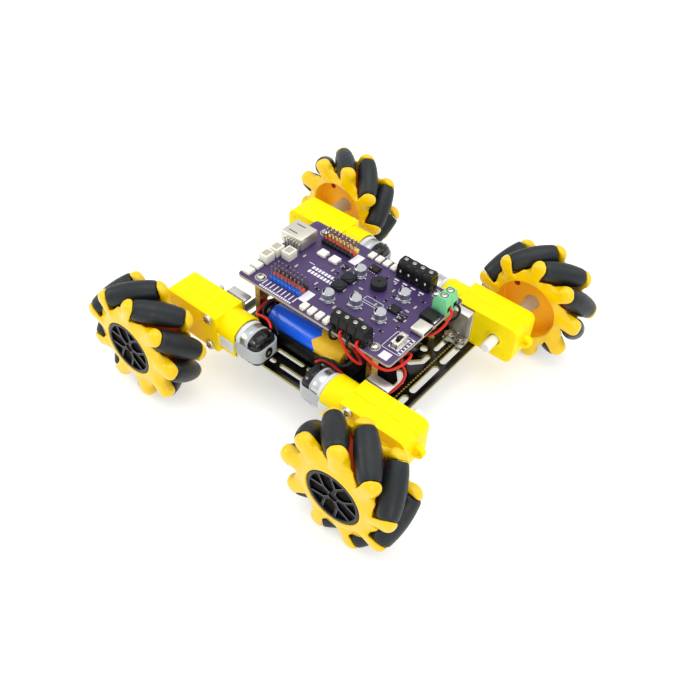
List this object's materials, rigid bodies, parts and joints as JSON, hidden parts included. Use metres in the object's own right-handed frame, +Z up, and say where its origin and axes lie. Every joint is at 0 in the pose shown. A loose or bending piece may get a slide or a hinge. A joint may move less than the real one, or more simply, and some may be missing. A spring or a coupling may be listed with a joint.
{
  "type": "four wheel robot chassis",
  "caption": "Mecanum wheel robot chassis: slotted base plate, yellow gear motors, angled-roller wheels, battery holder and a driver board on standoffs.",
  "frame": {"origin": "on the floor plane, under the middle of the base plate, which is also the middle of the four wheels", "axes": "+X towards the end with the power terminal (front), +Y to the left, +Z up"},
  "size_m": [0.1936, 0.1828, 0.0629],
  "materials": {
    "amber_wheel": "glossy moulded amber yellow",
    "roller_rubber": "matte dark slate",
    "yellow_gearbox": "satin moulded bright yellow",
    "motor_steel": "plated can with a black end cap",
    "bracket_aluminium": "satin sheet with steel screws",
    "plate_black": "glossy black laminate, tan edges",
    "board_purple": "purple lacquer with white print",
    "socket_steel": "bright folded shell",
    "black_plastic": "matte black",
    "cell_wrap": "glossy blue wrap with a gold end",
    "lead_insulation": "smooth insulation, red and black"
  },
  "bodies": {
    "chassis": {"base_plate": "plate_black", "circuit_board": "board_purple", "usb_socket": "socket_steel", "battery_holder": "black_plastic", "battery_cells": "cell_wrap", "right_motor_leads": "lead_insulation", "battery_leads": "lead_insulation", "gearbox_rear_right": "yellow_gearbox", "motor_rear_right": "motor_steel", "motor_bracket_rear_right": "bracket_aluminium", "gearbox_front_right": "yellow_gearbox", "motor_front_right": "motor_steel", "motor_bracket_front_right": "bracket_aluminium", "gearbox_rear_left": "yellow_gearbox", "motor_rear_left": "motor_steel", "motor_bracket_rear_left": "bracket_aluminium", "gearbox_front_left": "yellow_gearbox", "motor_front_left": "motor_steel", "motor_bracket_front_left": "bracket_aluminium"},
    "wheel_rear_right": {"wheel_hub_rear_right": "amber_wheel"},
    "roller_rear_right_1": {"roller_rear_right_1": "roller_rubber"},
    "roller_rear_right_2": {"roller_rear_right_2": "roller_rubber"},
    "roller_rear_right_3": {"roller_rear_right_3": "roller_rubber"},
    "roller_rear_right_4": {"roller_rear_right_4": "roller_rubber"},
    "roller_rear_right_5": {"roller_rear_right_5": "roller_rubber"},
    "roller_rear_right_6": {"roller_rear_right_6": "roller_rubber"},
    "roller_rear_right_7": {"roller_rear_right_7": "roller_rubber"},
    "roller_rear_right_8": {"roller_rear_right_8": "roller_rubber"},
    "roller_rear_right_9": {"roller_rear_right_9": "roller_rubber"},
    "wheel_front_right": {"wheel_hub_front_right": "amber_wheel"},
    "roller_front_right_1": {"roller_front_right_1": "roller_rubber"},
    "roller_front_right_2": {"roller_front_right_2": "roller_rubber"},
    "roller_front_right_3": {"roller_front_right_3": "roller_rubber"},
    "roller_front_right_4": {"roller_front_right_4": "roller_rubber"},
    "roller_front_right_5": {"roller_front_right_5": "roller_rubber"},
    "roller_front_right_6": {"roller_front_right_6": "roller_rubber"},
    "roller_front_right_7": {"roller_front_right_7": "roller_rubber"},
    "roller_front_right_8": {"roller_front_right_8": "roller_rubber"},
    "roller_front_right_9": {"roller_front_right_9": "roller_rubber"},
    "wheel_rear_left": {"wheel_hub_rear_left": "amber_wheel"},
    "roller_rear_left_1": {"roller_rear_left_1": "roller_rubber"},
    "roller_rear_left_2": {"roller_rear_left_2": "roller_rubber"},
    "roller_rear_left_3": {"roller_rear_left_3": "roller_rubber"},
    "roller_rear_left_4": {"roller_rear_left_4": "roller_rubber"},
    "roller_rear_left_5": {"roller_rear_left_5": "roller_rubber"},
    "roller_rear_left_6": {"roller_rear_left_6": "roller_rubber"},
    "roller_rear_left_7": {"roller_rear_left_7": "roller_rubber"},
    "roller_rear_left_8": {"roller_rear_left_8": "roller_rubber"},
    "roller_rear_left_9": {"roller_rear_left_9": "roller_rubber"},
    "wheel_front_left": {"wheel_hub_front_left": "amber_wheel"},
    "roller_front_left_1": {"roller_front_left_1": "roller_rubber"},
    "roller_front_left_2": {"roller_front_left_2": "roller_rubber"},
    "roller_front_left_3": {"roller_front_left_3": "roller_rubber"},
    "roller_front_left_4": {"roller_front_left_4": "roller_rubber"},
    "roller_front_left_5": {"roller_front_left_5": "roller_rubber"},
    "roller_front_left_6": {"roller_front_left_6": "roller_rubber"},
    "roller_front_left_7": {"roller_front_left_7": "roller_rubber"},
    "roller_front_left_8": {"roller_front_left_8": "roller_rubber"},
    "roller_front_left_9": {"roller_front_left_9": "roller_rubber"},
    "power_switch_knob": {"power_switch_knob": "black_plastic"}
  },
  "joints": [
    {"name": "wheel_spin_rear_right", "type": "hinge", "parent": "chassis", "child": "wheel_rear_right", "pos_m": [-0.0654, -0.0787, 0.0315], "axis": [0, 1, 0], "continuous": true},
    {"name": "roller_spin_rear_right_1", "type": "hinge", "parent": "wheel_rear_right", "child": "roller_rear_right_1", "pos_m": [-0.08549, -0.0787, 0.0472], "axis": [-0.4353, -0.7071, -0.5572], "continuous": true},
    {"name": "roller_spin_rear_right_2", "type": "hinge", "parent": "wheel_rear_right", "child": "roller_rear_right_2", "pos_m": [-0.0707, -0.0787, 0.05644], "axis": [-0.6917, -0.7071, -0.147], "continuous": true},
    {"name": "roller_spin_rear_right_3", "type": "hinge", "parent": "wheel_rear_right", "child": "roller_rear_right_3", "pos_m": [-0.05343, -0.0787, 0.05402], "axis": [-0.6243, -0.7071, 0.332], "continuous": true},
    {"name": "roller_spin_rear_right_4", "type": "hinge", "parent": "wheel_rear_right", "child": "roller_rear_right_4", "pos_m": [-0.04176, -0.0787, 0.04105], "axis": [-0.2649, -0.7071, 0.6556], "continuous": true},
    {"name": "roller_spin_rear_right_5", "type": "hinge", "parent": "wheel_rear_right", "child": "roller_rear_right_5", "pos_m": [-0.04115, -0.0787, 0.02362], "axis": [0.2185, -0.7071, 0.6725], "continuous": true},
    {"name": "roller_spin_rear_right_6", "type": "hinge", "parent": "wheel_rear_right", "child": "roller_rear_right_6", "pos_m": [-0.05189, -0.0787, 0.00987], "axis": [0.5997, -0.7071, 0.3747], "continuous": true},
    {"name": "roller_spin_rear_right_7", "type": "hinge", "parent": "wheel_rear_right", "child": "roller_rear_right_7", "pos_m": [-0.06895, -0.0787, 0.00625], "axis": [0.7002, -0.7071, -0.0984], "continuous": true},
    {"name": "roller_spin_rear_right_8", "type": "hinge", "parent": "wheel_rear_right", "child": "roller_rear_right_8", "pos_m": [-0.08435, -0.0787, 0.01444], "axis": [0.4731, -0.7071, -0.5255], "continuous": true},
    {"name": "roller_spin_rear_right_9", "type": "hinge", "parent": "wheel_rear_right", "child": "roller_rear_right_9", "pos_m": [-0.09088, -0.0787, 0.03061], "axis": [0.0247, -0.7071, -0.7067], "continuous": true},
    {"name": "wheel_spin_front_right", "type": "hinge", "parent": "chassis", "child": "wheel_front_right", "pos_m": [0.0654, -0.0787, 0.0315], "axis": [0, 1, 0], "continuous": true},
    {"name": "roller_spin_front_right_1", "type": "hinge", "parent": "wheel_front_right", "child": "roller_front_right_1", "pos_m": [0.04288, -0.0787, 0.04347], "axis": [0.332, -0.7071, 0.6243], "continuous": true},
    {"name": "roller_spin_front_right_2", "type": "hinge", "parent": "wheel_front_right", "child": "roller_front_right_2", "pos_m": [0.05585, -0.0787, 0.05514], "axis": [0.6556, -0.7071, 0.2649], "continuous": true},
    {"name": "roller_spin_front_right_3", "type": "hinge", "parent": "wheel_front_right", "child": "roller_front_right_3", "pos_m": [0.07328, -0.0787, 0.05575], "axis": [0.6725, -0.7071, -0.2185], "continuous": true},
    {"name": "roller_spin_front_right_4", "type": "hinge", "parent": "wheel_front_right", "child": "roller_front_right_4", "pos_m": [0.08703, -0.0787, 0.04501], "axis": [0.3747, -0.7071, -0.5997], "continuous": true},
    {"name": "roller_spin_front_right_5", "type": "hinge", "parent": "wheel_front_right", "child": "roller_front_right_5", "pos_m": [0.09065, -0.0787, 0.02795], "axis": [-0.0984, -0.7071, -0.7002], "continuous": true},
    {"name": "roller_spin_front_right_6", "type": "hinge", "parent": "wheel_front_right", "child": "roller_front_right_6", "pos_m": [0.08246, -0.0787, 0.01255], "axis": [-0.5255, -0.7071, -0.4731], "continuous": true},
    {"name": "roller_spin_front_right_7", "type": "hinge", "parent": "wheel_front_right", "child": "roller_front_right_7", "pos_m": [0.06629, -0.0787, 0.00602], "axis": [-0.7067, -0.7071, -0.0247], "continuous": true},
    {"name": "roller_spin_front_right_8", "type": "hinge", "parent": "wheel_front_right", "child": "roller_front_right_8", "pos_m": [0.0497, -0.0787, 0.01141], "axis": [-0.5572, -0.7071, 0.4353], "continuous": true},
    {"name": "roller_spin_front_right_9", "type": "hinge", "parent": "wheel_front_right", "child": "roller_front_right_9", "pos_m": [0.04046, -0.0787, 0.0262], "axis": [-0.147, -0.7071, 0.6917], "continuous": true},
    {"name": "wheel_spin_rear_left", "type": "hinge", "parent": "chassis", "child": "wheel_rear_left", "pos_m": [-0.0654, 0.0787, 0.0315], "axis": [0, 1, 0], "continuous": true},
    {"name": "roller_spin_rear_left_1", "type": "hinge", "parent": "wheel_rear_left", "child": "roller_rear_left_1", "pos_m": [-0.04129, 0.0787, 0.0398], "axis": [-0.2302, 0.7071, 0.6686], "continuous": true},
    {"name": "roller_spin_rear_left_2", "type": "hinge", "parent": "wheel_rear_left", "child": "roller_rear_left_2", "pos_m": [-0.05227, 0.0787, 0.05336], "axis": [-0.6061, 0.7071, 0.3642], "continuous": true},
    {"name": "roller_spin_rear_left_3", "type": "hinge", "parent": "wheel_rear_left", "child": "roller_rear_left_3", "pos_m": [-0.06939, 0.0787, 0.05669], "axis": [-0.6984, 0.7071, -0.1106], "continuous": true},
    {"name": "roller_spin_rear_left_4", "type": "hinge", "parent": "wheel_rear_left", "child": "roller_rear_left_4", "pos_m": [-0.08465, 0.0787, 0.04823], "axis": [-0.4639, 0.7071, -0.5337], "continuous": true},
    {"name": "roller_spin_rear_left_5", "type": "hinge", "parent": "wheel_rear_left", "child": "roller_rear_left_5", "pos_m": [-0.0909, 0.0787, 0.03195], "axis": [-0.0123, 0.7071, -0.707], "continuous": true},
    {"name": "roller_spin_rear_left_6", "type": "hinge", "parent": "wheel_rear_left", "child": "roller_rear_left_6", "pos_m": [-0.08522, 0.0787, 0.01545], "axis": [0.445, 0.7071, -0.5495], "continuous": true},
    {"name": "roller_spin_rear_left_7", "type": "hinge", "parent": "wheel_rear_left", "child": "roller_rear_left_7", "pos_m": [-0.07027, 0.0787, 0.00647], "axis": [0.6941, 0.7071, -0.1349], "continuous": true},
    {"name": "roller_spin_rear_left_8", "type": "hinge", "parent": "wheel_rear_left", "child": "roller_rear_left_8", "pos_m": [-0.05304, 0.0787, 0.0092], "axis": [0.6184, 0.7071, 0.3428], "continuous": true},
    {"name": "roller_spin_rear_left_9", "type": "hinge", "parent": "wheel_rear_left", "child": "roller_rear_left_9", "pos_m": [-0.04159, 0.0787, 0.02236], "axis": [0.2534, 0.7071, 0.6601], "continuous": true},
    {"name": "wheel_spin_front_left", "type": "hinge", "parent": "chassis", "child": "wheel_front_left", "pos_m": [0.0654, 0.0787, 0.0315], "axis": [0, 1, 0], "continuous": true},
    {"name": "roller_spin_front_left_1", "type": "hinge", "parent": "wheel_front_left", "child": "roller_front_left_1", "pos_m": [0.08832, 0.0787, 0.04268], "axis": [0.31, 0.7071, -0.6355], "continuous": true},
    {"name": "roller_spin_front_left_2", "type": "hinge", "parent": "wheel_front_left", "child": "roller_front_left_2", "pos_m": [0.07577, 0.0787, 0.0548], "axis": [0.646, 0.7071, -0.2876], "continuous": true},
    {"name": "roller_spin_front_left_3", "type": "hinge", "parent": "wheel_front_left", "child": "roller_front_left_3", "pos_m": [0.05837, 0.0787, 0.05601], "axis": [0.6797, 0.7071, 0.1949], "continuous": true},
    {"name": "roller_spin_front_left_4", "type": "hinge", "parent": "wheel_front_left", "child": "roller_front_left_4", "pos_m": [0.04426, 0.0787, 0.04576], "axis": [0.3954, 0.7071, 0.5862], "continuous": true},
    {"name": "roller_spin_front_left_5", "type": "hinge", "parent": "wheel_front_left", "child": "roller_front_left_5", "pos_m": [0.04004, 0.0787, 0.02883], "axis": [-0.0739, 0.7071, 0.7032], "continuous": true},
    {"name": "roller_spin_front_left_6", "type": "hinge", "parent": "wheel_front_left", "child": "roller_front_left_6", "pos_m": [0.04769, 0.0787, 0.01316], "axis": [-0.5087, 0.7071, 0.4912], "continuous": true},
    {"name": "roller_spin_front_left_7", "type": "hinge", "parent": "wheel_front_left", "child": "roller_front_left_7", "pos_m": [0.06362, 0.0787, 0.00606], "axis": [-0.7054, 0.7071, 0.0493], "continuous": true},
    {"name": "roller_spin_front_left_8", "type": "hinge", "parent": "wheel_front_left", "child": "roller_front_left_8", "pos_m": [0.08039, 0.0787, 0.01087], "axis": [-0.5721, 0.7071, -0.4156], "continuous": true},
    {"name": "roller_spin_front_left_9", "type": "hinge", "parent": "wheel_front_left", "child": "roller_front_left_9", "pos_m": [0.09014, 0.0787, 0.02533], "axis": [-0.1711, 0.7071, -0.6861], "continuous": true},
    {"name": "power_switch_slide", "type": "slide", "parent": "chassis", "child": "power_switch_knob", "axis": [0, 1, 0], "range_m": [0, 0.002]}
  ]
}
